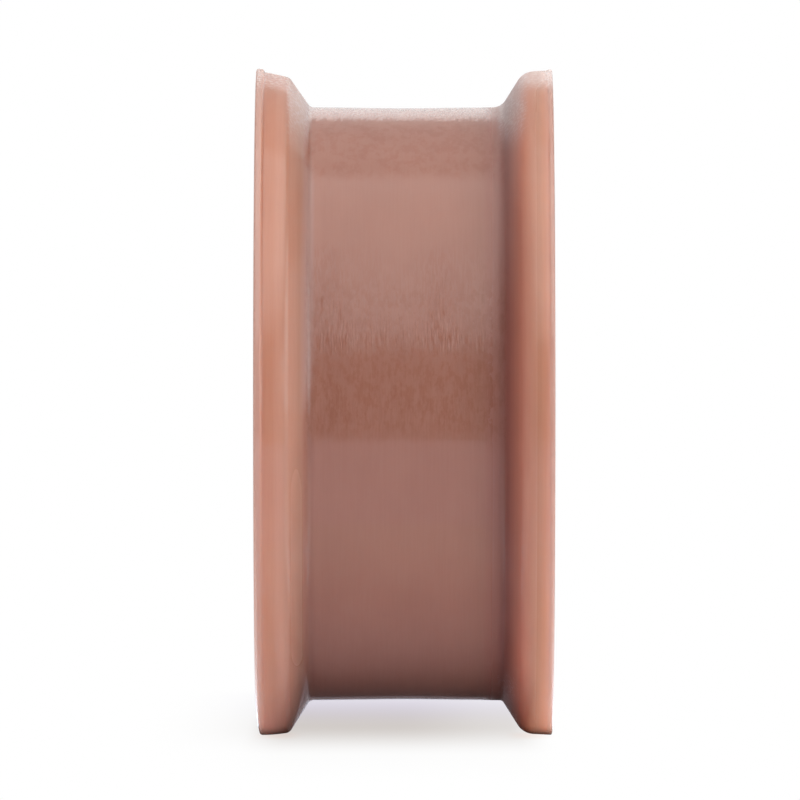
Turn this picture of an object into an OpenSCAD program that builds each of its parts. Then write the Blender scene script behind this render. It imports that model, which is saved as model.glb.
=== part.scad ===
// Double-flared ear gauge plug, moulded in one solid piece from soft silicone.
// Its axis lies along X, its centre is the origin, and it stands on the rims of its two flares.
// The left flare has a crisp shoulder and the right one a soft, rolled shoulder.

/* [Plug] */
// Length from one end face to the other
plug_length = 12.7; // [9:0.1:20]
// Diameter of the saddle halfway along, where it is narrowest: the gauge that the lobe is stretched to
gauge_d = 25.4; // [16:0.2:40]
// Height of each flare's outer edge above that narrowest place
flare_rise = 1.58; // [1.2:0.02:2.5]
// How much farther from the axis the saddle lies at its two feet
saddle_dip = 0.05; // [0.02:0.01:0.3]

/* [Left flare] */
// Width of the land round the rim, from the end face to the shoulder
left_land_w = 1.42; // [1:0.02:1.8]
// How much nearer to the axis the shoulder lies than the outer edge
left_land_drop = 0.21; // [0:0.01:0.4]
// Width of the slope between the shoulder and the saddle
left_slope_w = 0.9; // [0.6:0.05:1.2]
// Rounding of the outer edge
left_edge_r = 0.14; // [0.1:0.02:0.4]
// Rounding of the shoulder
left_shoulder_r = 0.3; // [0.1:0.05:0.5]
// Rounding of the foot, where the slope meets the saddle
left_foot_r = 0.3; // [0.1:0.05:0.5]

/* [Right flare] */
// Width of the land round the rim, from the end face to the shoulder
right_land_w = 1.24; // [1.1:0.02:1.8]
// How much nearer to the axis the shoulder lies than the outer edge
right_land_drop = 0.1; // [0:0.01:0.4]
// Width of the slope between the shoulder and the saddle
right_slope_w = 0.95; // [0.6:0.05:1.2]
// Rounding of the outer edge
right_edge_r = 0.12; // [0.1:0.02:0.3]
// Rounding of the shoulder
right_shoulder_r = 0.85; // [0.1:0.05:1]
// Rounding of the foot, where the slope meets the saddle
right_foot_r = 0.7; // [0.1:0.05:0.8]

/* [Hidden] */
$fn = 128;

face_x = plug_length / 2;
waist_r = gauge_d / 2;
foot_r = waist_r + saddle_dip;
flare_r = waist_r + flare_rise;
left_foot_x = -face_x + left_land_w + left_slope_w;
right_foot_x = face_x - right_land_w - right_slope_w;
// Radius of the long curve that joins the two halves of the saddle, and covers about a fifth of each
saddle_curve_r = 0.2 * left_foot_x * left_foot_x / saddle_dip;
// Straight pieces that stand for each rounded corner
corner_steps = 8;

// The corners of the half outline, from the left end face to the right one
ALONG = 0; // place along the axis
OUT = 1;   // distance from the axis
ROUND = 2; // rounding of the corner
outline = [
    [-face_x, 0, 0],
    [-face_x, flare_r, left_edge_r],
    [-face_x + left_land_w, flare_r - left_land_drop, left_shoulder_r],
    [left_foot_x, foot_r, left_foot_r],
    [0, waist_r, saddle_curve_r],
    [right_foot_x, foot_r, right_foot_r],
    [face_x - right_land_w, flare_r - right_land_drop, right_shoulder_r],
    [face_x, flare_r, right_edge_r],
    [face_x, 0, 0]
];

// A corner's place in the half plane that is turned about the axis
function place(corner) = [corner[OUT], corner[ALONG]];

// Unit vector from point a to point b
function toward(a, b) = (b - a) / norm(b - a);

// Points of the arc of radius r that rounds corner b between its neighbours a and c
function arc_at(a, b, c, r) =
    let (
        u = toward(b, a),
        v = toward(b, c),
        half_angle = acos(u * v) / 2,
        centre = b + toward([0, 0], u + v) * r / sin(half_angle),
        first = b + u * r / tan(half_angle) - centre,
        start = atan2(first[1], first[0]),
        sweep = (180 - 2 * half_angle) * (cross(u, v) > 0 ? -1 : 1)
    )
    [for (i = [0 : corner_steps])
        let (angle = start + sweep * i / corner_steps)
        centre + r * [cos(angle), sin(angle)]];

// The half outline with its corners rounded
half_profile = [for (i = [0 : len(outline) - 1])
    each outline[i][ROUND] == 0
        ? [place(outline[i])]
        : arc_at(place(outline[i - 1]), place(outline[i]), place(outline[i + 1]), outline[i][ROUND])];

// The plug: its half outline turned once about the X axis
module plug_body() {
    color([0.73, 0.52, 0.45])
        rotate([0, 90, 0])
            rotate_extrude()
                polygon(half_profile);
}

plug_body();
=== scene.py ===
"""Double-flared ear gauge plug in skin-tone silicone, standing on its rims on a white table.

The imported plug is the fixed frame. Its silicone body is rebuilt here as one smooth surface turned about the
X axis, with the moulded lip round each rim, and lit as a small product set. All sizes are in metres.
"""

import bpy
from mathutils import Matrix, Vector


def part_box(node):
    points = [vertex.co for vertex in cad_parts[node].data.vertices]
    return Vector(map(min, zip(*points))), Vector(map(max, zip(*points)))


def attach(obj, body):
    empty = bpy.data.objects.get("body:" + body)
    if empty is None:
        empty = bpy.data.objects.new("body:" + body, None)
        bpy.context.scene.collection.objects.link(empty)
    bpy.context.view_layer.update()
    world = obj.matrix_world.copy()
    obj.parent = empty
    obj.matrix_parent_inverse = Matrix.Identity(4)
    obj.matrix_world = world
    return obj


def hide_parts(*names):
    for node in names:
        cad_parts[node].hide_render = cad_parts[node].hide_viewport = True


bl_info = {
    "name": "Silicone Ear Plug",
    "version": (1, 0, 0),
    "blender": (4, 5, 0),
    "location": "View3D > Sidebar > Ear Plug",
    "description": "Builds a double-flared silicone ear plug and the small studio set that it stands in",
    "category": "Add Mesh",
}

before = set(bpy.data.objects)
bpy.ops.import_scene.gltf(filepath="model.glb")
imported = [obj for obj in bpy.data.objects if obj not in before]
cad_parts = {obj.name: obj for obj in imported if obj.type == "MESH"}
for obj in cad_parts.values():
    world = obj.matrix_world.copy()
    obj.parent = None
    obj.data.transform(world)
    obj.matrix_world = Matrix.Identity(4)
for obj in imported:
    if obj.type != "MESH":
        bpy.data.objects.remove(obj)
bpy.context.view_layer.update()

import math

import bpy
import numpy as np
from bpy.props import FloatProperty, FloatVectorProperty, IntProperty, PointerProperty

MM = 0.001
BODY_LOW, BODY_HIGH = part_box("plug_body")
HALF_LENGTH = (BODY_HIGH.x - BODY_LOW.x) / 2
RIM_RADIUS = (BODY_HIGH.z - BODY_LOW.z) / 2
# Radius of the saddle: half of the gauge
SADDLE_RADIUS = 12.7 * MM


def length(label, words, value):
    """A length property in metres, shown with six decimal places."""
    return FloatProperty(name=label, description=words, default=value, unit="LENGTH", precision=6)


def tint(label, words, value):
    """A linear colour property."""
    return FloatVectorProperty(
        name=label, description=words, default=value, size=3, subtype="COLOR", min=0, max=1)


def number(label, words, value):
    """A property that is a plain number."""
    return FloatProperty(name=label, description=words, default=value)


class PlugShape(bpy.types.PropertyGroup):
    """Sizes of the silicone body, measured along its axis and out from it."""

    saddle_r: length("Saddle Radius", "Radius of the saddle at its narrowest, halfway along", SADDLE_RADIUS)
    saddle_dip: length("Saddle Dip", "How much farther out the saddle lies at its two feet", 0.05 * MM)
    sag: length("Sag", "How far the soft saddle hangs below the rims' axis", 0.03 * MM)
    left_land: length("Left Land", "Width of the land round the left flare", 1.42 * MM)
    left_slope: length("Left Slope", "Width of the slope inside the left flare", 0.9 * MM)
    left_drop: length("Left Drop", "Mean drop of the left land from its edge to its shoulder", 0.19 * MM)
    left_drop_swing: length("Left Drop Swing", "How much it grows at the top and shrinks below", 0.09 * MM)
    left_crown: length("Left Crown", "How far the left land arches between edge and shoulder", 0.03 * MM)
    left_lean: length("Left Lean", "How far the left rim bends in where it bears on the table", 0.15 * MM)
    right_land: length("Right Land", "Width of the land round the right flare", 1.24 * MM)
    right_slope: length("Right Slope", "Width of the slope inside the right flare", 0.95 * MM)
    right_slope_swing: length("Right Slope Swing", "How much narrower that slope is at the bottom", 0.05 * MM)
    right_foot_swing: number("Right Foot Swing", "Share by which its foot's rounding grows at the top", 0.5)
    right_drop: length("Right Drop", "Mean drop of the right land from its edge to its shoulder", 0.07 * MM)
    right_drop_swing: length("Right Drop Swing", "How much it grows at the top and shrinks below", 0.01 * MM)
    right_rise: length("Right Rise", "How far the right rim stands above its circle at the top", 0.045 * MM)
    lip_height: length("Lip Height", "Height of the moulded lip at the left land's outer edge", 0.13 * MM)
    lip_width: length("Lip Width", "Width of that lip", 0.38 * MM)
    lip_low: number("Lip Low", "Share of its height at the bottom", 0.2)
    right_lip: number("Right Lip", "Share of its height on the right rim", 0.3)
    around: IntProperty(name="Around", description="Steps round the axis", default=424, min=32)


class SiliconeLook(bpy.types.PropertyGroup):
    """Colour and finish of the silicone."""

    saddle: tint("Saddle", "Colour of the thick silicone under the saddle", (0.316, 0.145, 0.105))
    flare: tint("Flare", "Colour of the thin flares, where more light comes back out", (0.462, 0.221, 0.147))
    # This colour is a painted sheen: it makes the lips at both outer edges paler and pinker.
    rim: tint("Rim", "Colour of the drier skin on the lips at both outer edges", (0.41, 0.235, 0.19))
    # This colour is a painted highlight: the lighter band on the left land before its shoulder.
    pale_highlight: tint("Pale", "Colour of the paler band before the left shoulder", (0.466, 0.24, 0.17))
    # This colour is a painted glow: the right flare lighter and yellower beside its lip.
    peach_glow: tint("Peach", "Colour of the yellower band beside the right lip", (0.42, 0.207, 0.134))
    # This colour serves both for dust and for painted sheen, highlights and reflections: see DUST.
    dust_and_sheen: tint("Dust", "Colour of the fine dust on top of the flares and in the crease", (0.6, 0.55, 0.54))
    # This colour is painted shade: the crease at the right flare's foot is darkened where shade falls.
    crease: tint("Crease", "Colour in the crease at the right flare's foot", (0.216, 0.073, 0.057))
    warm: tint("Warm", "Colour of the right slope, which glows a deeper red", (0.355, 0.132, 0.09))
    glow_depth: length("Glow Depth", "How far red light travels inside the silicone", 1.8 * MM)
    gloss: number("Gloss", "Roughness where the skin is smooth", 0.1)
    haze: number("Haze", "Roughness of the dull flecks", 0.38)
    lean: number("Lean", "How strongly the skin leans inside the dashes and specks", 1.0)


class StudioSet(bpy.types.PropertyGroup):
    """The camera, the table and the lights."""

    camera_distance: length("Camera Distance", "From the lens to the plug's axis", 0.6)
    view_width: length("View Width", "Width of the picture at the plug's axis", 34.4 * MM)
    aim_left: length("Aim Left", "How far the picture's middle lies left of the plug's centre", 0.18 * MM)
    aim_up: length("Aim Up", "How far the picture's middle lies above the plug's centre", 0.13 * MM)
    table_front: length("Table Front", "From the plug's axis to the table's front edge", 64 * MM)
    backdrop: number("Backdrop", "White that the camera sees", 1.0)
    sky: number("Sky", "Light from all sides behind the lamps", 0.32)
    wall: number("Wall", "Brightness of the white wall behind the plug", 1.41)
    wall_low: number("Wall Low", "Share of that brightness at the wall's foot", 0.6)
    softbox: number("Softbox", "Brightness of the overhead softbox", 2.8)
    ceiling: number("Ceiling", "Brightness of the ceiling behind the softbox", 0.77)
    key: number("Key", "Brightness of the tall panel on the right", 2.65)
    side: number("Side", "Brightness of the weaker panel on the left", 0.9)
    glow: number("Glow", "Brightness of the lit table round the plug", 1.2)
    room: number("Room", "Brightness of the dim room round the camera", 0.42)
    warm_left: tint("Warm Left", "Light on the table under the left flare", (0.63, 0.4, 0.37))
    warm_right: tint("Warm Right", "Light on the table under the right flare", (1.0, 0.6, 0.46))
    shade_near: tint("Near Shade", "What the shade takes from the floor near the viewer", (0.36, 0.4, 0.425))
    shade_far: tint("Far Shade", "What the shade takes from the floor behind the plug", (0.36, 0.4, 0.28))


# Shape

# The corners of the half outline, from the middle of the left face to the middle of the right one
CORNERS = ("left_middle", "left_edge", "left_shoulder", "left_foot", "waist",
           "right_foot", "right_shoulder", "right_edge", "right_middle")
# Rounding of each corner that has one, in metres, and the steps of its arc
ROUNDING = {
    "left_edge": (0.1 * MM, 9),
    "left_shoulder": (0.3 * MM, 12),
    "left_foot": (0.28 * MM, 10),
    "waist": (60 * MM, 3),
    "right_foot": (0.42 * MM, 12),
    "right_shoulder": (0.85 * MM, 16),
    "right_edge": (0.08 * MM, 9),
}
# Steps of each straight stretch, from the corner of that name to the next
STRETCH = {
    "left_middle": 28,
    "left_edge": 36,
    "left_shoulder": 8,
    "left_foot": 22,
    "waist": 22,
    "right_foot": 5,
    "right_shoulder": 24,
    "right_edge": 14,
}
# Waves in the height of the lips: turns round the rim, share of the height, and phase
LIP_WAVES = ((3, 0.25, 0.4), (7, 0.2, 1.9), (13, 0.12, 0.2), (29, 0.08, 2.2))
# Shares of the lip's width between which each lip falls to its land
LEFT_LIP_FALL, RIGHT_LIP_FALL = (0.75, 1.0), (0.4, 0.7)
# The angle at which the rims bear on the table, and how far round from it the lips vanish and the left rim
# leans, in radians
BOTTOM, LIP_GAP, LEAN_REACH = -np.pi / 2, 0.5, 0.35


def swell(angle, centre, width):
    """A bump of height 1 at one angle round the axis: a bell curve of the angular distance, in radians."""
    gap = (angle - centre + np.pi) % (2 * np.pi) - np.pi
    return np.exp(-((gap / width) ** 2))


def ripple(angle, parts):
    """A closed wave round the axis: a sum of sines, each with whole turns, a height and a phase."""
    return sum(height * np.sin(turns * angle + phase) for turns, height, phase in parts)


def outline_corners(shape, angle):
    """The outline's corners at each angle: an array (corner, angle, 2) of places along and out from the axis.

    Angle 0 faces the viewer and a quarter turn is the top. Both shoulders lie lowest at the top, where the
    right rim rises, and the right slope is narrowest at the bottom.
    """
    left_drop = shape.left_drop + shape.left_drop_swing * np.sin(angle)
    right_drop = shape.right_drop + shape.right_drop_swing * np.sin(angle)
    right_rim = RIM_RADIUS + shape.right_rise * np.clip(np.sin(angle), 0, 1)
    waist_r = shape.saddle_r - shape.sag * np.sin(angle)
    foot_r = waist_r + shape.saddle_dip
    left_shoulder_x = -HALF_LENGTH + shape.left_land
    left_foot_x = left_shoulder_x + shape.left_slope
    right_shoulder_x = HALF_LENGTH - shape.right_land
    right_slope = shape.right_slope - shape.right_slope_swing * np.clip(-np.sin(angle), 0, 1)
    flat = np.zeros_like(angle)
    rows = (
        (-HALF_LENGTH + flat, flat),
        (-HALF_LENGTH + flat, RIM_RADIUS + flat),
        (left_shoulder_x + flat, RIM_RADIUS - left_drop),
        (left_foot_x + flat, foot_r),
        (flat, waist_r),
        (right_shoulder_x - right_slope, foot_r),
        (right_shoulder_x + flat, right_rim - right_drop),
        (HALF_LENGTH + flat, right_rim),
        (HALF_LENGTH + flat, flat),
    )
    return np.array([np.stack(row, -1) for row in rows])


def unit(vectors):
    """Vectors scaled to length 1."""
    return vectors / np.linalg.norm(vectors, axis=-1, keepdims=True)


def rounded(before, corner, after, radius, steps):
    """An arc that rounds each corner.

    Its centre lies on the line that halves the corner's angle, at the radius over the sine of half that
    angle. Its points are turned evenly from one tangent point to the other.
    """
    u, v = unit(before - corner), unit(after - corner)
    half = np.arccos(np.clip((u * v).sum(-1), -1, 1))[..., None] / 2
    centre = corner + unit(u + v) * radius / np.sin(half)
    first = (corner + u * radius / np.tan(half) - centre) / radius
    last = (corner + v * radius / np.tan(half) - centre) / radius
    sweep = np.pi - 2 * half
    share = np.linspace(0, 1, steps + 1)[:, None, None]
    spokes = (np.sin((1 - share) * sweep) * first + np.sin(share * sweep) * last) / np.sin(sweep)
    return centre + radius * spokes


def half_outline(shape, angle):
    """The half outline at each angle, as an array (step, angle, 2): arcs at the rounded corners, and straight
    stretches between them that are cut into even steps. The right foot is rounded more at the top."""
    corners = outline_corners(shape, angle)
    runs = []
    for i, name in enumerate(CORNERS):
        if name in ROUNDING:
            radius, steps = ROUNDING[name]
            if name == "right_foot":
                radius = radius * (1 + shape.right_foot_swing * np.sin(angle))[:, None]
            run = rounded(corners[i - 1], corners[i], corners[i + 1], radius, steps)
        else:
            run = corners[i][None]
        if runs:
            cuts = STRETCH[CORNERS[i - 1]]
            share = np.arange(1, cuts)[:, None, None] / cuts
            runs.append(runs[-1][-1] * (1 - share) + run[0] * share)
        runs.append(run)
    return np.concatenate(runs)


def ease(value, start, end):
    """A smooth rise from 0 to 1 as the value goes from the start to the end."""
    share = np.clip((value - start) / (end - start), 0, 1)
    return share * share * (3 - 2 * share)


def add_lips(shape, along, out, angle):
    """Raises the moulded lip at each rim: full height over the outer part of the lip's width, then a smooth
    fall to the land. Its height wanders round the rim, and falls to nothing where the plug bears on the
    table. The end faces inside the rims stay as they are."""
    near_rim = ease(out / RIM_RADIUS, 0.985, 0.995)
    wander = 1 + ripple(angle, LIP_WAVES)
    left = 1 - ease((along + HALF_LENGTH) / shape.lip_width, *LEFT_LIP_FALL)
    right = 1 - ease((HALF_LENGTH - along) / shape.lip_width, *RIGHT_LIP_FALL)
    top = 0.5 + 0.5 * np.sin(angle)
    left = left * (shape.lip_low + (1 - shape.lip_low) * top)
    height = shape.lip_height * wander * (left + shape.right_lip * right)
    return out + height * near_rim * (1 - swell(angle, BOTTOM, LIP_GAP))


def crown(shape, along, out):
    """Rounds the left land across its width: a low arch, highest halfway and level at both sides."""
    share = np.clip((along + HALF_LENGTH) / shape.left_land, 0, 1)
    return out + shape.left_crown * 4 * share * (1 - share) * (out > shape.saddle_r)


def lean_in(shape, along, out, angle):
    """Bends the left rim inwards where it bears on the table: the shift is full at the bottom of the rim,
    and fades towards the axis, towards the shoulder, and round the rim on both sides of the bottom."""
    outer = ease(out / RIM_RADIUS, 0.86, 1.0)
    near_face = 1 - ease(along + HALF_LENGTH, 0, shape.left_land)
    return along + shape.left_lean * swell(angle, BOTTOM, LEAN_REACH) * outer * near_face


def plug_surface(shape):
    """Vertices and faces of the body: point (step, angle) of the half outline is carried round the X axis, so
    x = along, y = -out * cos(angle), z = out * sin(angle). The two ends close on one vertex each."""
    angle = np.arange(shape.around) * (2 * np.pi / shape.around)
    points = half_outline(shape, angle)
    along, out = points[1:-1, :, 0], points[1:-1, :, 1]
    out = add_lips(shape, along, crown(shape, along, out), angle)
    along = lean_in(shape, along, out, angle)
    rings = np.stack([along, -out * np.cos(angle), out * np.sin(angle)], -1)
    count = len(rings)
    ring = np.arange(count * shape.around).reshape(count, shape.around)
    ahead = np.roll(ring, -1, axis=1)
    quads = np.stack([ring[:-1], ring[1:], ahead[1:], ahead[:-1]], -1).reshape(-1, 4)
    left_pole, right_pole = count * shape.around, count * shape.around + 1
    left_fan = np.stack([np.full(shape.around, left_pole), ring[0], ahead[0]], -1)
    right_fan = np.stack([np.full(shape.around, right_pole), ahead[-1], ring[-1]], -1)
    ends = np.array([[-HALF_LENGTH, 0, 0], [HALF_LENGTH, 0, 0]])
    vertices = np.concatenate([rings.reshape(-1, 3), ends])
    return vertices, quads, np.concatenate([left_fan, right_fan])


def mesh_object(name, vertices, *face_sets, smooth=True):
    """A mesh object at the origin, from an array of vertices and arrays of faces."""
    mesh = bpy.data.meshes.new(name)
    mesh.from_pydata(vertices.tolist(), [], [face for faces in face_sets for face in faces.tolist()])
    mesh.polygons.foreach_set("use_smooth", np.full(len(mesh.polygons), smooth))
    mesh.update()
    piece = bpy.data.objects.new(name, mesh)
    bpy.context.scene.collection.objects.link(piece)
    return piece


# Materials


def new_material(name):
    """A node material, its tree and its shader."""
    material = bpy.data.materials.new(name)
    material.use_nodes = True
    tree = material.node_tree
    return material, tree, tree.nodes["Principled BSDF"]


def node(tree, kind, **settings):
    """A new node with its settings."""
    made = tree.nodes.new(kind)
    for key, value in settings.items():
        setattr(made, key, value)
    return made


def feed(tree, value, socket):
    """Gives a socket its value: a node's output, a number, or a colour as three numbers."""
    if isinstance(value, bpy.types.NodeSocket):
        tree.links.new(value, socket)
    else:
        socket.default_value = (*value, 1) if socket.type == "RGBA" else value


def noise(tree, place, scale, detail, roughness):
    """A noise pattern whose grain is scaled differently along x, y and z."""
    mapping = node(tree, "ShaderNodeMapping")
    mapping.inputs["Scale"].default_value = scale
    pattern = node(tree, "ShaderNodeTexNoise")
    pattern.inputs["Scale"].default_value = 1.0
    pattern.inputs["Detail"].default_value = detail
    pattern.inputs["Roughness"].default_value = roughness
    tree.links.new(place, mapping.inputs["Vector"])
    tree.links.new(mapping.outputs["Vector"], pattern.inputs["Vector"])
    return pattern.outputs["Fac"]


def spread(tree, value, low, high, to_low=0.0, to_high=1.0, curve="SMOOTHSTEP"):
    """A value's range from low to high stretched to another range."""
    ramp = node(tree, "ShaderNodeMapRange", interpolation_type=curve)
    for socket, limit in zip(("From Min", "From Max", "To Min", "To Max"), (low, high, to_low, to_high)):
        ramp.inputs[socket].default_value = limit
    tree.links.new(value, ramp.inputs["Value"])
    return ramp.outputs["Result"]


def fade(tree, place, start, end, first=0.0, last=1.0):
    """A smooth change from the first number to the last, between two places in millimetres."""
    return spread(tree, place, start * MM, end * MM, first, last)


def between(tree, place, start, full, last, end):
    """A soft mask: it rises from 0 to 1 from the first place to the second, in millimetres, and falls to 0
    from the third to the fourth."""
    return times(tree, fade(tree, place, start, full), fade(tree, place, end, last))


def bell(tree, place, start, end):
    """A soft mask that is 1 halfway between two places in millimetres and falls to 0 at both."""
    middle = (start + end) / 2
    return between(tree, place, start, middle, middle, end)


def maths(tree, operation, *values):
    """One operation on one or two values."""
    made = node(tree, "ShaderNodeMath", operation=operation)
    for value, socket in zip(values, made.inputs):
        feed(tree, value, socket)
    return made.outputs["Value"]


def times(tree, value, *others):
    """Two or more values multiplied."""
    for other in others:
        value = maths(tree, "MULTIPLY", value, other)
    return value


def sum_of(tree, value, *others):
    """Two or more values added."""
    for other in others:
        value = maths(tree, "ADD", value, other)
    return value


def size_of(tree, value):
    """A value without its sign."""
    return maths(tree, "ABSOLUTE", value)


def vector_maths(tree, operation, *vectors):
    """One operation on one or two vectors. Returns the node's outputs."""
    made = node(tree, "ShaderNodeVectorMath", operation=operation)
    for vector, socket in zip(vectors, made.inputs):
        feed(tree, vector, socket)
    return made.outputs


def bump(tree, height, depth, under):
    """A bump of the given depth in metres, on top of another normal."""
    made = node(tree, "ShaderNodeBump")
    made.inputs["Distance"].default_value = depth
    tree.links.new(height, made.inputs["Height"])
    tree.links.new(under, made.inputs["Normal"])
    return made.outputs["Normal"]


def colour_along(tree, value, stops):
    """A colour that runs smoothly through (value, colour) stops."""
    ramp = node(tree, "ShaderNodeValToRGB")
    points = ramp.color_ramp.elements
    ramp.color_ramp.interpolation = "EASE"
    while len(points) < len(stops):
        points.new(0.5)
    for point, (place, colour) in zip(points, stops):
        point.position = place
        point.color = (*colour, 1)
    tree.links.new(value, ramp.inputs["Fac"])
    return ramp.outputs["Color"]


def mixed(tree, share, first, second, blend="MIX"):
    """Two colours mixed by a share."""
    mix = node(tree, "ShaderNodeMix", data_type="RGBA", blend_type=blend)
    for name, value in (("A", first), ("B", second), ("Factor", share)):
        feed(tree, value, mix.inputs[name])
    return mix.outputs["Result"]


def multiplied(tree, colour, tone):
    """A colour whose red, green and blue are multiplied by a tone's."""
    return mixed(tree, 1.0, colour, tone, "MULTIPLY")


def axes(tree, place):
    """The three coordinates of a place."""
    parts = node(tree, "ShaderNodeSeparateXYZ")
    tree.links.new(place, parts.inputs["Vector"])
    return parts.outputs


def here(tree):
    """The three coordinates of the place that is shaded."""
    return axes(tree, node(tree, "ShaderNodeTexCoord").outputs["Object"])


def from_axis(tree, place):
    """Distance of a place from the X axis."""
    parts = axes(tree, place)
    flat = node(tree, "ShaderNodeCombineXYZ")
    tree.links.new(parts["Y"], flat.inputs["Y"])
    tree.links.new(parts["Z"], flat.inputs["Z"])
    return vector_maths(tree, "LENGTH", flat.outputs["Vector"])["Value"]


def turned_to(tree, place, rise, half_width):
    """A soft mask for the stretch of the saddle that faces one way, and the stretch opposite it: 1 in the
    middle and 0 from the half width on.

    Both angles are in degrees round the axis, and the rise is above the viewer's side. A place on the saddle
    reaches along that way by its radius times the cosine of the angle between them.
    """
    way = (0, -math.cos(math.radians(rise)), math.sin(math.radians(rise)))
    reach = size_of(tree, vector_maths(tree, "DOT_PRODUCT", place, way)["Value"])
    edge, full = (SADDLE_RADIUS * math.cos(math.radians(angle)) for angle in (half_width, 0.6 * half_width))
    return spread(tree, reach, edge, full)


def leaning(tree, place, amount):
    """The surface's normal, leaning round the axis by the given amount: the normal plus the amount times the
    direction round the axis, which is the X axis crossed with the place."""
    normal = node(tree, "ShaderNodeNewGeometry").outputs["Normal"]
    around = vector_maths(tree, "CROSS_PRODUCT", (1 / RIM_RADIUS, 0, 0), place)["Vector"]
    lean = vector_maths(tree, "MULTIPLY", around, amount)["Vector"]
    return vector_maths(tree, "NORMALIZE", vector_maths(tree, "ADD", normal, lean)["Vector"])["Vector"]


# Noise patterns in the skin: grains per metre along X, Y and Z, detail and roughness
GRAINS = {
    "dashes": ((12500, 1700, 1700), 2.0, 0.55),
    "groups": ((900, 450, 450), 1.0, 0.5),
    "specks": ((10500, 2600, 2600), 2.0, 0.6),
    "flecks": ((3600, 2000, 2000), 4.0, 0.7),
    "grit": ((6500, 6500, 6500), 2.0, 0.5),
    "streaks": ((12000, 450, 450), 2.0, 0.5),
    "clouds": ((450, 320, 320), 3.0, 0.5),
    "blotches": ((2600, 1600, 1600), 4.0, 0.65),
    "dots": ((9000, 9000, 9000), 1.0, 0.5),
}
# Stretches round the axis that bear marks: how far each faces above the viewer's side, and its half width,
# in degrees
FACINGS = {
    "seam": (9, 17),
    "streaks": (10, 20),
    "dashes": (21, 12),
    "left_foot": (27, 29),
    "blotches": (60, 13),
    "specks": (79, 9),
    # Where the painted sheen lies along the top of the saddle
    "frost": (82, 11),
}
# How strongly the skin leans in the dashes, along the rest of the seam and in the specks
DASH_LEAN, SEAM_LEAN, SPECK_LEAN = 0.27, 0.06, 0.12
GRIT_DEPTH = 0.004 * MM
# Colours along the axis: the place from the left face at 0 to the right one at 1, and the share of each of
# the look's colours there. Light and shade are painted into them: a sheen on both lips, a highlight on the
# left land, a glow in the thin flares and beside the right lip, and shade in and near the right crease
BANDS = (
    # The left lip with its painted sheen, the land with a painted highlight before the shoulder, and the
    # slope
    (0.0, {"rim": 0.97}), (0.016, {"rim": 1.0}), (0.026, {"rim": 0.4, "flare": 0.6}),
    (0.04, {"flare": 1.0}), (0.06, {"flare": 1.01}), (0.08, {"pale_highlight": 1.02}), (0.09, {"pale_highlight": 0.99}),
    (0.108, {"pale_highlight": 0.83}), (0.124, {"pale_highlight": 0.92}), (0.135, {"pale_highlight": 0.9}), (0.155, {"pale_highlight": 0.8}),
    # The saddle, a little lighter at the left foot, and darkening with painted shade towards the right crease
    (0.17, {"saddle": 1.08}), (0.187, {"saddle": 1.1}), (0.2, {"saddle": 1.07}), (0.24, {"saddle": 1.0}),
    (0.65, {"saddle": 1.0}), (0.72, {"saddle": 0.96}), (0.755, {"saddle": 0.92}),
    # The right crease, darkened with painted shade
    (0.788, {"saddle": 0.6, "crease": 0.4}), (0.804, {"saddle": 0.52, "crease": 0.48}),
    (0.83, {"saddle": 0.2, "crease": 0.8}), (0.845, {"crease": 1.0}),
    # The right slope and land with a painted glow, deep red on the slope, and the lip with a painted sheen
    (0.857, {"crease": 0.72, "warm": 0.28}), (0.871, {"crease": 0.3, "warm": 0.7}),
    (0.884, {"warm": 1.04}), (0.91, {"warm": 0.48, "flare": 0.52}),
    (0.926, {"warm": 0.15, "flare": 0.78}), (0.948, {"peach_glow": 1.0}), (0.965, {"peach_glow": 1.1}),
    (0.978, {"peach_glow": 0.54, "rim": 0.58}), (0.985, {"rim": 0.95}), (1.0, {"rim": 0.8}),
)
# What the fine streaks and the wide clouds keep of the colour under them
SHADES = {"streaks": (0.977, 0.965, 0.965), "clouds": (0.962, 0.95, 0.95)}
# What each marked place keeps of the colour under it. Above 1 it is lighter.
TONES = {
    "blotches": (0.93, 0.86, 0.84),
    "flecks": (0.93, 0.87, 0.82),
    "streaks": (0.955, 0.925, 0.905),
    "dashes": (0.94, 0.88, 0.85),
    # Painted shade: the flares darker high up, most on the left
    "high_flares": (0.92, 0.84, 0.79),
    "gritty_tops": (0.86, 0.74, 0.68),
    # Painted light: the slopes lighter low down, most on the right, as if light came through the flares
    "low_slopes": (1.42, 1.36, 1.3),
    # Painted shade: darker low at the left foot, near the table
    "low_left_foot": (0.75, 0.7, 0.7),
    # Painted shade: the top of the left land darker
    "left_land_top": (0.9, 0.85, 0.82),
    # Painted light: the upper right slope lighter and greyer
    "right_slope": (1.13, 1.17, 1.17),
}
# How much of the dust and sheen colour shows in each place. Some places take dust; the others take
# painted sheen, highlights and reflections
DUST = {
    # Painted sheen in specks along the top of the saddle
    "frost": 0.3,
    # Painted reflection: a greyer strip along the left foot
    "left_foot": 0.2,
    "crease": 0.06,
    # Painted highlight on the upper slopes, stronger on the right
    "upper_slopes": 0.25,
    "grains": 0.29,
    "right_rim_top": 0.3,
    "dots": 0.6,
}
# How strongly silicone bends light, and how far red, green and blue travel in it, as shares of the glow depth
SILICONE_IOR, GLOW_SHARES = 1.41, (1.0, 0.9, 0.85)


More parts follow.
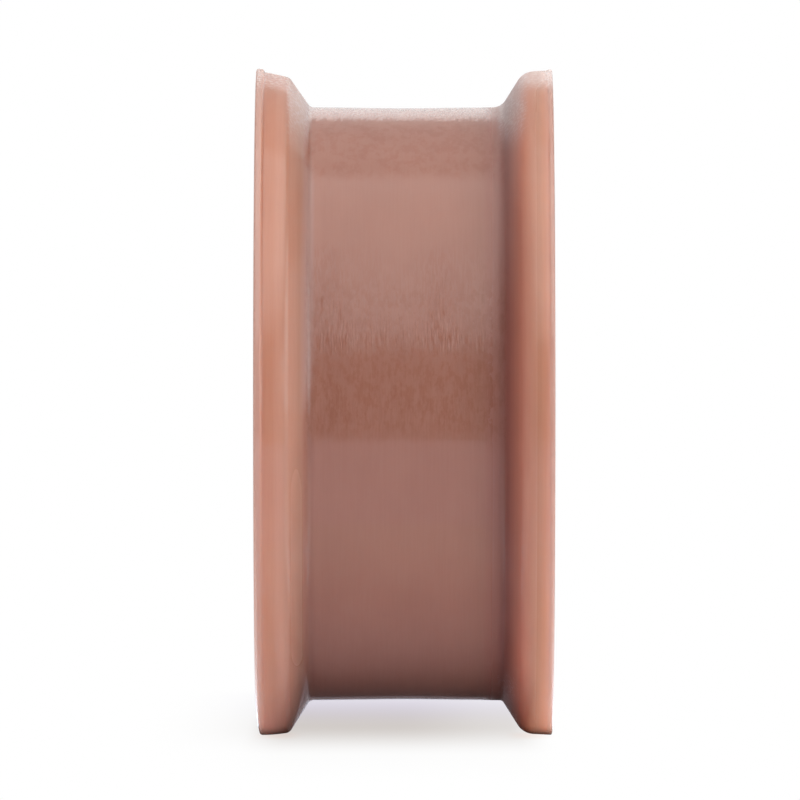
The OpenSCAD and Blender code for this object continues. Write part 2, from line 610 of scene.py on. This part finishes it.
class Skin:
    """The skin of the silicone, made of masks and patterns by place on the plug.

    Across runs along the axis from left to right, and side is the distance from the middle along it. Height
    runs up, and radius is the distance from the axis. The limits of all masks are in millimetres.
    """

    def __init__(self, tree, look):
        self.tree, self.look = tree, look
        self.place = node(tree, "ShaderNodeTexCoord").outputs["Object"]
        parts = axes(tree, self.place)
        self.across, self.height = parts["X"], parts["Z"]
        self.side = size_of(tree, self.across)
        self.radius = from_axis(tree, self.place)
        self.grain = {name: noise(tree, self.place, *settings) for name, settings in GRAINS.items()}
        self.facing = {name: turned_to(tree, self.place, *angles) for name, angles in FACINGS.items()}
        self.mark_regions()

    def mark_regions(self):
        """Masks of the saddle, the flares, the right crease, the groups of dashes, and the places that take
        the dusting and sheen colour: the tops, the low crease, and the upper slopes, which take a painted
        highlight.
        """
        tree, across, height, side = self.tree, self.across, self.height, self.side
        self.saddle = times(tree, fade(tree, self.radius, 13.1, 12.85), fade(tree, side, 5.2, 4.6))
        self.flares = fade(tree, self.radius, 12.9, 13.5)
        self.crease = between(tree, across, 3.7, 4.2, 4.5, 5.0)
        gathered = sum_of(tree, bell(tree, across, -4.3, -2.0), bell(tree, across, 0.6, 2.6))
        self.dash_groups = times(tree, self.facing["dashes"],
                                 spread(tree, self.grain["groups"], 0.4, 0.6, 0.6, 1.0),
                                 spread(tree, gathered, 0.0, 1.0, 0.5, 1.5, "LINEAR"))
        self.tops = times(tree, self.flares, fade(tree, height, 13.2, 13.9))
        # The upper slopes, which take a painted highlight
        self.upper_slopes = times(tree, fade(tree, side, 3.9, 4.2), fade(tree, height, 10.6, 13.0),
                                  between(tree, across, -5.1, -4.8, 4.8, 5.4),
                                  fade(tree, across, -1, 1, 1.0, 1.35))
        self.low_crease = times(tree, self.crease, fade(tree, height, -11.2, -12.2))
        self.dust_and_sheen_places = sum_of(tree, self.tops, self.upper_slopes, times(tree, self.low_crease, 0.4))

    def normal(self):
        """The skin leans to and fro in the dashes and, near the top, in the specks, which breaks up the
        edge of each reflection. Grit adds a fine bump where the skin is dusted and a sheen is painted."""
        tree = self.tree
        to_and_fro = (0.2, 0.8, -1.0, 1.0, "LINEAR")
        depth = sum_of(tree, times(tree, self.dash_groups, DASH_LEAN),
                       times(tree, self.facing["seam"], SEAM_LEAN))
        dashed = times(tree, spread(tree, self.grain["dashes"], *to_and_fro), depth)
        specked = times(tree, spread(tree, self.grain["specks"], *to_and_fro),
                        times(tree, self.facing["specks"], SPECK_LEAN))
        lean = times(tree, self.saddle, times(tree, sum_of(tree, dashed, specked), self.look.lean))
        grit = times(tree, self.grain["grit"], self.dust_and_sheen_places)
        return bump(tree, grit, GRIT_DEPTH, leaning(tree, self.place, lean))

    def roughness(self):
        """Gloss, with dull flecks along the seam, haze where the skin is dusted and a sheen is painted, and
        satin on the right slope, low on the left slope and on the end faces."""
        tree, across, height = self.tree, self.across, self.height
        flecked = times(tree, spread(tree, self.grain["flecks"], 0.45, 0.7, 0.0, 0.5), self.facing["seam"],
                        self.saddle)
        right_slope = between(tree, across, 3.2, 4.1, 5.3, 6.0)
        left_slope = times(tree, bell(tree, across, -5.3, -3.8),
                           between(tree, height, -12.4, -10.6, -4.0, 0.0))
        faces = fade(tree, self.side, 6.25, 6.34)
        dull = sum_of(tree, flecked, times(tree, self.dust_and_sheen_places, 0.6), faces,
                      right_slope, times(tree, left_slope, 0.8))
        return spread(tree, dull, 0.0, 1.0, self.look.gloss, self.look.haze, "LINEAR")

    def bands(self):
        """The colour along the axis, with fine streaks and wide clouds. The flares are thin, so light that
        enters their other sides comes out too; that glow is painted into their lighter colour. Nearer to the
        axis the silicone is as thick as it is under the saddle."""
        tree, look = self.tree, self.look
        along = spread(tree, self.across, -HALF_LENGTH, HALF_LENGTH, 0.0, 1.0, "LINEAR")
        stops = [(place, sum(share * np.array(getattr(look, tone)) for tone, share in shares.items()))
                 for place, shares in BANDS]
        outer = fade(tree, self.radius, 7.5, 12.6)
        colour = mixed(tree, outer, look.saddle, colour_along(tree, along, stops))
        for name, tone in SHADES.items():
            clear = spread(tree, self.grain[name], 0.3, 0.7)
            colour = mixed(tree, clear, multiplied(tree, colour, tone), colour)
        return colour

    def toned_places(self):
        """A mask for each of the tones: marks on the saddle, browner grit on the flares' tops, painted shade
        high on the flares, on the left land's top and low at the left foot, and painted light on the lower
        slopes, where light comes through, and on the upper right slope."""
        tree, across, height, side = self.tree, self.across, self.height, self.side
        grain, facing, saddle = self.grain, self.facing, self.saddle
        return {
            "blotches": times(tree, spread(tree, grain["blotches"], 0.42, 0.62), facing["blotches"], saddle),
            "flecks": times(tree, spread(tree, grain["flecks"], 0.56, 0.4), facing["seam"], saddle),
            "streaks": times(tree, spread(tree, grain["dashes"], 0.58, 0.4), facing["streaks"], saddle),
            "dashes": times(tree, spread(tree, grain["dashes"], 0.6, 0.4), self.dash_groups, saddle),
            "high_flares": times(tree, self.flares, fade(tree, height, 5.0, 12.5),
                                 fade(tree, across, -4.6, 5.9, 1.0, 0.25), fade(tree, across, -6.15, -5.9),
                                 fade(tree, side, 4.4, 5.3, 0.4, 1.0)),
            "gritty_tops": times(tree, spread(tree, grain["grit"], 0.55, 0.46), self.tops,
                                 fade(tree, across, 0, 1, 1.0, 0.3)),
            "low_slopes": times(tree, bell(tree, side, 4.1, 5.6), fade(tree, height, -7.5, -12.0),
                                fade(tree, across, -1, 1, 0.45, 1.0)),
            "low_left_foot": times(tree, bell(tree, across, -4.6, -3.9), fade(tree, height, -11.4, -12.4)),
            "left_land_top": times(tree, bell(tree, height, 12.7, 14.0), bell(tree, across, -6.4, -4.9)),
            "right_slope": times(tree, bell(tree, height, 7.5, 12.9), bell(tree, across, 4.3, 5.6)),
        }

    def dusty_places(self):
        """A mask for each share of the dusting and sheen colour: a painted sheen in specks along the top of
        the saddle, a painted reflection in a strip at the left foot, some grey high in the right crease,
        a painted highlight on the upper slopes, grains over the tops, the upper slopes and the low crease,
        a greyer top on the right rim, and a dusting of dots in the low crease."""
        tree, across, grain = self.tree, self.across, self.grain
        return {
            "frost": times(tree, spread(tree, grain["specks"], 0.42, 0.6), self.facing["frost"], self.saddle),
            "left_foot": times(tree, bell(tree, across, -4.46, -3.72), self.facing["left_foot"]),
            "crease": times(tree, self.crease, fade(tree, self.height, 2.0, 9.0)),
            "upper_slopes": self.upper_slopes,
            "grains": times(tree, spread(tree, grain["grit"], 0.48, 0.62), self.dust_and_sheen_places),
            "right_rim_top": times(tree, self.tops, fade(tree, across, 4.4, 5.2)),
            "dots": times(tree, spread(tree, grain["dots"], 0.66, 0.74), self.low_crease),
        }

    def colour(self):
        """The bands, toned where they are marked and where light and shade are painted, with the dusting
        and the painted sheen on top.
        """
        tree, colour = self.tree, self.bands()
        for name, mask in self.toned_places().items():
            colour = mixed(tree, mask, colour, multiplied(tree, colour, TONES[name]))
        for name, mask in self.dusty_places().items():
            colour = mixed(tree, times(tree, mask, DUST[name]), colour, self.look.dust_and_sheen)
        return colour


def silicone(look):
    """Skin-tone silicone: light travels inside it, and its skin is smooth but for its marks."""
    material, tree, shader = new_material("silicone")
    skin = Skin(tree, look)
    tree.links.new(skin.colour(), shader.inputs["Base Color"])
    tree.links.new(skin.roughness(), shader.inputs["Roughness"])
    tree.links.new(skin.normal(), shader.inputs["Normal"])
    shader.inputs["IOR"].default_value = SILICONE_IOR
    shader.inputs["Subsurface Weight"].default_value = 1.0
    shader.inputs["Subsurface Scale"].default_value = look.glow_depth
    shader.inputs["Subsurface Radius"].default_value = GLOW_SHARES
    return material


def plain(name, colour, roughness):
    """A plain matt material."""
    material, _, shader = new_material(name)
    shader.inputs["Base Color"].default_value = (*colour, 1)
    shader.inputs["Roughness"].default_value = roughness
    return material


def glowing(name, strength):
    """A material that only gives out light. Returns its tree too, and the emission shader."""
    material = bpy.data.materials.new(name)
    material.use_nodes = True
    tree = material.node_tree
    tree.nodes.clear()
    light = node(tree, "ShaderNodeEmission")
    light.inputs["Strength"].default_value = strength
    surface = node(tree, "ShaderNodeOutputMaterial")
    tree.links.new(light.outputs["Emission"], surface.inputs["Surface"])
    return material, tree, light


# Studio

# How far the table reaches to both sides and behind the plug, and its slightly blue white
TABLE_REACH, TABLE_WHITE = 0.6, (0.82, 0.83, 0.97)
# The floor that the camera sees lies just under the table, and the cards for the lit table lie just above it
FLOOR_LEVEL, GLOW_LEVEL = BODY_LOW.z - 0.01 * MM, BODY_LOW.z + 0.05 * MM
# Heights at which the panels beside the plug begin, and at which the softbox and the ceiling hang
FOOT, OVERHEAD = -0.014, 0.28
# Panels of one brightness: two opposite corners, the property that gives the brightness, and its share. The
# flags are dark, and shade the plug from behind at both sides.
PANELS = {
    "key_front": ((0.35, -0.9, FOOT), (0.35, -0.35, 0.7), "key", 0.75),
    "key_side": ((0.35, -0.35, FOOT), (0.35, 0.0, 0.7), "key", 1.0),
    "side_front": ((-0.35, -0.9, FOOT), (-0.35, -0.35, OVERHEAD), "side", 1.0),
    "side_back": ((-0.35, -0.35, FOOT), (-0.35, 0.0, OVERHEAD), "side", 0.6),
    "side_far": ((-0.35, 0.12, FOOT), (-0.35, 0.4, OVERHEAD), "side", 0.7),
    "fill": ((-0.6, -0.5, OVERHEAD), (-0.1, 0.05, OVERHEAD), "side", 1.4),
    "flag_left": ((-0.35, 0.0, FOOT), (-0.35, 0.12, 0.12), "side", 0.0),
    "flag_right": ((0.35, 0.0, FOOT), (0.35, 0.35, 0.12), "key", 0.0),
}
# Tints of the light from the table: cool far from the plug, neutral nearer, lilac close beside the rims,
# and mauve in front of the saddle
COOL = (0.94, 0.98, 1.05)
NEUTRAL = (0.99, 0.97, 0.95)
LILAC = (0.74, 0.96, 1.12)
MAUVE = (0.97, 0.92, 1.05)
# Lit places on the table: from and to along X, from and to along Y, in millimetres, share of the table's
# glow, and tint. The table's front edge is at -64, and the plug's own place between them stays unlit.
TABLE_GLOW = {
    "glow_left": ((-300, -30), (-64, 100), 0.65, COOL),
    "glow_right": ((30, 300), (-64, 100), 1.1, COOL),
    "glow_near_left": ((-30, -9.5), (-30, 20), 1.2, NEUTRAL),
    "glow_near_right": ((9.5, 30), (-30, 20), 1.4, NEUTRAL),
    "glow_rim_left": ((-9.5, -6.8), (-16, 10), 2.7, LILAC),
    "glow_rim_right": ((6.8, 9.5), (-16, 10), 3.1, LILAC),
    "glow_front": ((-6.8, 6.8), (-64, -20), 1.1, MAUVE),
}
# Light from the table in the plug's shade: where the shade begins, and in its core
SHADE_EDGE = (0.53, 0.46, 0.54)
SHADE_CORE = (0.09, 0.065, 0.065)
# What the floor keeps of its white where a warm light is painted, as if it came through the flares
WARM_FLOOR = (1.0, 0.92, 0.89)
# Radius of the room's front half and its slightly warm tint, and radius of the white ball behind it all
ROOM_RADIUS, ROOM_TINT, BACKDROP_RADIUS = 1.0, (1.0, 0.96, 0.88), 1.2


def card(name, centre, across, up, material):
    """A flat four-sided card: its centre plus and minus half of each of its two edge vectors."""
    centre, across, up = (np.array(part, float) for part in (centre, across, up))
    corners = [centre + (i * across + j * up) / 2 for i, j in ((-1, -1), (1, -1), (1, 1), (-1, 1))]
    piece = mesh_object(name, np.array(corners), np.array([[0, 1, 2, 3]]), smooth=False)
    piece.data.materials.append(material)
    return piece


def ball(name, radius, sweep, material):
    """Part of a ball round the plug: its longitude runs from 0 to the sweep, past the camera's side, and its
    latitude from pole to pole. Its faces are seen from inside."""
    longitudes, latitudes = np.linspace(0, sweep, 65), np.linspace(-np.pi / 2, np.pi / 2, 33)
    turn, rise = np.meshgrid(longitudes, latitudes, indexing="ij")
    points = radius * np.stack([np.cos(turn) * np.cos(rise), -np.sin(turn) * np.cos(rise), np.sin(rise)], -1)
    index = np.arange(turn.size).reshape(turn.shape)
    quads = np.stack([index[:-1, :-1], index[1:, :-1], index[1:, 1:], index[:-1, 1:]], -1).reshape(-1, 4)
    piece = mesh_object(name, points.reshape(-1, 3), quads)
    piece.data.materials.append(material)
    return piece


def seen_by_camera_only(piece):
    """Hides a backdrop from every ray but the camera's, so that it doesn't light the plug or show in it."""
    for ray in ("diffuse", "glossy", "transmission", "volume_scatter", "shadow"):
        setattr(piece, "visible_" + ray, False)


def hide_from_camera(piece):
    """Keeps a light card or a flag out of the picture, so that no view is blocked by it."""
    piece.visible_camera = False


def light_card(name, low, high, strength):
    """A flat card that only gives out light, between two opposite corners that share one coordinate."""
    low, high = np.array(low, float), np.array(high, float)
    size = high - low
    across, up = [edge for edge in np.diag(size) if edge.any()]
    material, tree, light = glowing(name + "_light", strength)
    hide_from_camera(card(name, (low + high) / 2, across, up, material))
    return tree, light


def table_card(name, across, away, strength):
    """A light card on the table, from and to along X and along Y in millimetres."""
    (left, right), (front, back) = across, away
    low, high = (left * MM, front * MM, GLOW_LEVEL), (right * MM, back * MM, GLOW_LEVEL)
    return light_card(name, low, high, strength)


def make_camera(studio):
    """The camera: level, square to the plug's side, a long lens at the set distance."""
    data = bpy.data.cameras.new("camera")
    data.lens = data.sensor_width * studio.camera_distance / studio.view_width
    camera = bpy.data.objects.new("camera", data)
    bpy.context.scene.collection.objects.link(camera)
    camera.location = (-studio.aim_left, -studio.camera_distance, studio.aim_up)
    camera.rotation_euler = (math.pi / 2, 0, 0)
    data.clip_start, data.clip_end = 0.01, 10
    bpy.context.scene.camera = camera


def make_table(studio):
    """The white table. It lights the plug from below and shows in it. The camera sees the floor instead."""
    white = plain("table_white", TABLE_WHITE, 0.6)
    middle = (0, (TABLE_REACH - studio.table_front) / 2, BODY_LOW.z)
    depth = TABLE_REACH + studio.table_front
    hide_from_camera(card("table", middle, (2 * TABLE_REACH, 0, 0), (0, depth, 0), white))


def make_backdrop(studio):
    """The white that the camera sees behind the plug: a ball that lights nothing and shows in nothing."""
    material, _, _ = glowing("backdrop_white", studio.backdrop)
    seen_by_camera_only(ball("backdrop", BACKDROP_RADIUS, 2 * np.pi, material))


def floor_shade(tree, across, away):
    """How deep the painted soft shade of the plug lies on the floor.

    The shade is a band between the flares, weaker on the right. It is deepest just behind the plug, and
    fades over 80 mm in front of it and 100 mm behind it. A faint rim of it spreads out on the left.
    """
    band = times(tree, between(tree, across, -7.0, -4.9, 4.6, 6.4), fade(tree, across, -0.5, 5.0, 1.0, 0.72))
    rim = spread(tree, across, -13 * MM, -6.4 * MM, 0.0, 0.62, "LINEAR")
    rim = times(tree, rim, rim, rim, fade(tree, across, -4.9, -7.0))
    front = sum_of(tree, fade(tree, away, -36, 18, 0.0, 0.94), fade(tree, away, -80, -20, 0.0, 0.06))
    behind = times(tree, fade(tree, away, 135, 30), fade(tree, away, 102, 76))
    return times(tree, sum_of(tree, band, rim), front, behind)


def make_floor(studio):
    """The white floor that the camera sees, with the plug's soft shade painted on it. A warm light, painted
    as if it came through the flares, tints it where they stand."""
    material, tree, light = glowing("floor_white", studio.backdrop)
    place = here(tree)
    across, away = place["X"], place["Y"]
    near, far = (tuple(1 - part for part in shade) for shade in (studio.shade_near, studio.shade_far))
    shade = mixed(tree, fade(tree, away, 10, 80), near, far)
    tone = mixed(tree, floor_shade(tree, across, away), (1, 1, 1), shade)
    stand = times(tree, between(tree, size_of(tree, across), 4.2, 5.4, 5.6, 6.6),
                  between(tree, away, -10, -1, 0, 8))
    tone = mixed(tree, stand, tone, multiplied(tree, tone, WARM_FLOOR))
    tree.links.new(tone, light.inputs["Color"])
    width = 2 * TABLE_REACH
    seen_by_camera_only(card("floor", (0, 0, FLOOR_LEVEL), (width, 0, 0), (0, width, 0), material))


def make_softbox(studio):
    """The overhead softbox. Its front edge fades out, its back edge passes into the ceiling, and it is
    weaker on the right, where the key panel stands."""
    front_left, back_right = (-0.1, -0.97, OVERHEAD), (0.5, 0.055, OVERHEAD)
    tree, light = light_card("softbox", front_left, back_right, studio.softbox)
    place = here(tree)
    away = place["Y"]
    front = spread(tree, away, -0.95, -0.36, 0.12 * studio.softbox, studio.softbox)
    back = times(tree, spread(tree, away, 0.0, -0.22, 0.88, 1.0), spread(tree, away, 0.055, 0.015, 0.55, 1.0))
    middle = spread(tree, place["X"], 0.22, 0.1, 0.25, 1.0)
    tree.links.new(times(tree, middle, front, back), light.inputs["Strength"])


def make_ceiling(studio):
    """The ceiling behind the softbox: brightest beside the softbox, and dim at both sides."""
    front_left, back_right = (-0.5, 0.055, OVERHEAD), (0.5, 0.4, OVERHEAD)
    tree, light = light_card("ceiling", front_left, back_right, studio.ceiling)
    place = here(tree)
    middle = between(tree, place["X"], -200, -100, 100, 200)
    nearer = spread(tree, place["Y"], 0.24, 0.06, studio.ceiling, 1.6 * studio.ceiling)
    tree.links.new(times(tree, nearer, spread(tree, middle, 0.0, 1.0, 0.15, 1.0)), light.inputs["Strength"])


def make_wall(studio):
    """The white wall behind the plug: brightest in the middle and high up, and weaker at both sides."""
    tree, light = light_card("wall", (-0.45, 0.6, 0.0), (0.45, 0.6, 0.42), studio.wall)
    place = here(tree)
    middle = between(tree, place["X"], -170, -90, 100, 360)
    middle = spread(tree, middle, 0.0, 1.0, 0.46 * studio.wall, studio.wall, "LINEAR")
    rise = spread(tree, place["Z"], 0.0, 0.36, studio.wall_low, 1.0)
    tree.links.new(times(tree, middle, rise), light.inputs["Strength"])


def make_panels(studio):
    """The tall key panel on the right, the weaker one on the left, the fill above it, and two dark flags."""
    for name, (low, high, source, share) in PANELS.items():
        light_card(name, low, high, share * getattr(studio, source))


def make_table_glow(studio):
    """The lit table round the plug."""
    for name, (across, away, share, colour) in TABLE_GLOW.items():
        _, light = table_card(name, across, away, share * studio.glow)
        light.inputs["Color"].default_value = (*colour, 1)


def make_shade(studio):
    """What the saddle's underside sees of the table: the plug's shade, which deepens to a dark core."""
    tree, light = table_card("shade_front", (-4.9, 5.0), (-20, -9), 1.0)
    lit = (studio.glow,) * 3
    tone = mixed(tree, fade(tree, here(tree)["Y"], -19, -9), lit, SHADE_EDGE)
    tree.links.new(tone, light.inputs["Color"])
    tree, light = table_card("shade_core", (-4.9, 5.0), (-9, 4), 1.0)
    place = here(tree)
    core = between(tree, place["Y"], -9, -1.5, 2.5, 5)
    tree.links.new(mixed(tree, core, SHADE_EDGE, SHADE_CORE), light.inputs["Color"])
    tree.links.new(fade(tree, place["X"], 1, 4, 1.0, 0.75), light.inputs["Strength"])


def make_warm_strips(studio):
    """A strip under each flare: warm where light comes through the silicone, dark where the flare stands."""
    for name, across, tone in (("warm_left", (-6.7, -4.9), studio.warm_left),
                               ("warm_right", (5.0, 6.7), studio.warm_right)):
        tree, light = table_card(name, across, (-14, 1), 1.0)
        place = here(tree)
        lit = times(tree, fade(tree, size_of(tree, place["X"]), 4.9, 5.7, 0.4, 1.0),
                    fade(tree, place["Y"], -1.1, -3.9, 0.12, 1.0))
        tree.links.new(mixed(tree, lit, (0, 0, 0), tone), light.inputs["Color"])


def make_room(studio):
    """The dim room round the camera: the front half of a ball, seen only in reflections."""
    material, _, light = glowing("room_dim", studio.room)
    light.inputs["Color"].default_value = (*ROOM_TINT, 1)
    hide_from_camera(ball("room", ROOM_RADIUS, np.pi, material))


def make_world(studio):
    """The even light that comes from behind the lamps and between them."""
    world = bpy.data.worlds.new("white_world")
    world.use_nodes = True
    background = world.node_tree.nodes["Background"]
    background.inputs["Color"].default_value = (1, 1, 1, 1)
    background.inputs["Strength"].default_value = studio.sky
    bpy.context.scene.world = world
    bpy.context.scene.view_settings.view_transform = "Standard"


# Operators


class EARPLUG_OT_body(bpy.types.Operator):
    """Make the silicone body of the plug"""

    bl_idname = "earplug.body"
    bl_label = "Silicone Body"

    def execute(self, context):
        scene = context.scene
        vertices, quads, fans = plug_surface(scene.plug_shape)
        body = mesh_object("silicone_body", vertices, quads, fans)
        body.data.materials.append(silicone(scene.silicone_look))
        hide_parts("plug_body")
        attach(body, "root")
        return {"FINISHED"}


class EARPLUG_OT_stage(bpy.types.Operator):
    """Make the table, the lights and the camera"""

    bl_idname = "earplug.stage"
    bl_label = "Studio Set"

    def execute(self, context):
        for make in (make_world, make_table, make_backdrop, make_floor, make_softbox, make_ceiling,
                     make_panels, make_wall, make_table_glow, make_shade, make_warm_strips, make_room,
                     make_camera):
            make(context.scene.studio_set)
        return {"FINISHED"}


class EARPLUG_PT_panel(bpy.types.Panel):
    """Lists the sizes, the finish and the set, with a button for each operator"""

    bl_idname = "EARPLUG_PT_panel"
    bl_label = "Ear Plug"
    bl_space_type = "VIEW_3D"
    bl_region_type = "UI"
    bl_category = "Ear Plug"

    def draw(self, context):
        layout = self.layout
        for group in (context.scene.plug_shape, context.scene.silicone_look, context.scene.studio_set):
            box = layout.box()
            for name in group.__annotations__:
                box.prop(group, name)
        layout.operator(EARPLUG_OT_body.bl_idname)
        layout.operator(EARPLUG_OT_stage.bl_idname)


CLASSES = (PlugShape, SiliconeLook, StudioSet, EARPLUG_OT_body, EARPLUG_OT_stage, EARPLUG_PT_panel)
SETTINGS = {"plug_shape": PlugShape, "silicone_look": SiliconeLook, "studio_set": StudioSet}


def register():
    """Adds the classes, and a group of settings of each kind to every scene."""
    for made in CLASSES:
        bpy.utils.register_class(made)
    for name, group in SETTINGS.items():
        setattr(bpy.types.Scene, name, PointerProperty(type=group))


def unregister():
    """Takes the settings and the classes away again."""
    for name in SETTINGS:
        delattr(bpy.types.Scene, name)
    for made in reversed(CLASSES):
        bpy.utils.unregister_class(made)


def main():
    register()
    bpy.ops.earplug.body()
    bpy.ops.earplug.stage()


if __name__ == "__main__":
    main()
